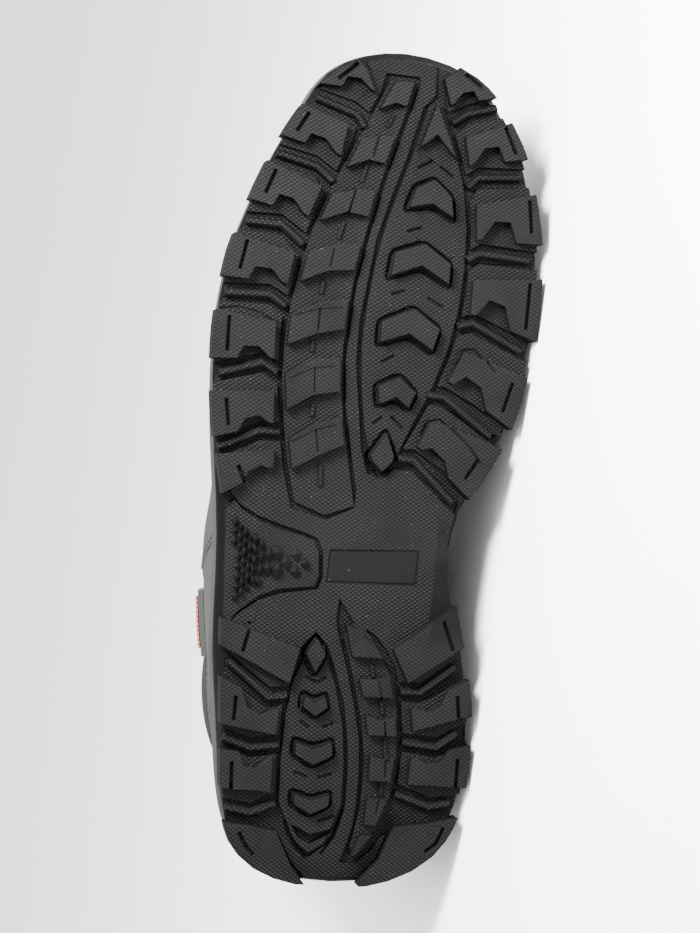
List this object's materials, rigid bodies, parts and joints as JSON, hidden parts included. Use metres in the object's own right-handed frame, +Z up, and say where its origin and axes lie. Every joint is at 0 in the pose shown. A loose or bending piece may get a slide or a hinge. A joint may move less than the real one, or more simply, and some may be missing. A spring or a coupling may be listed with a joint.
{
  "type": "hiking boot",
  "caption": "Right-foot hiking boot with a deep-lugged rubber outsole, midsole, leather upper, padded collar, tongue and laced throat, lying on its inner side.",
  "frame": {"origin": "middle of the boot's box on the floor it lies on, inner side down", "axes": "+Y toward the toe, +X toward the tread (the sole faces +X), +Z up from the floor (outer side up)"},
  "size_m": [0.1964, 0.3094, 0.1189],
  "materials": {
    "tread_rubber": "matt, finely knurled charcoal rubber",
    "midsole_rubber": "matt smooth grey rubber",
    "insole_felt": "matt felt",
    "upper_suede": "matt nubuck, warm grey",
    "tongue_suede": "matt nubuck, darker warm grey",
    "lace_cord": "round woven cord",
    "eyelet_metal": "dark metal",
    "tab_rubber": "matt charcoal rubber",
    "band_weave": "red woven band"
  },
  "bodies": {
    "root": {"outsole": "tread_rubber", "midsole": "midsole_rubber", "insole": "insole_felt", "upper": "upper_suede", "tongue": "tongue_suede", "lace": "lace_cord", "eyelet_lateral_1": "eyelet_metal", "eyelet_lateral_2": "eyelet_metal", "eyelet_lateral_3": "eyelet_metal", "eyelet_lateral_4": "eyelet_metal", "eyelet_lateral_5": "eyelet_metal", "eyelet_medial_1": "eyelet_metal", "eyelet_medial_2": "eyelet_metal", "eyelet_medial_3": "eyelet_metal", "eyelet_medial_4": "eyelet_metal", "eyelet_medial_5": "eyelet_metal", "side_tab": "tab_rubber", "side_band": "band_weave"}
  },
  "joints": []
}
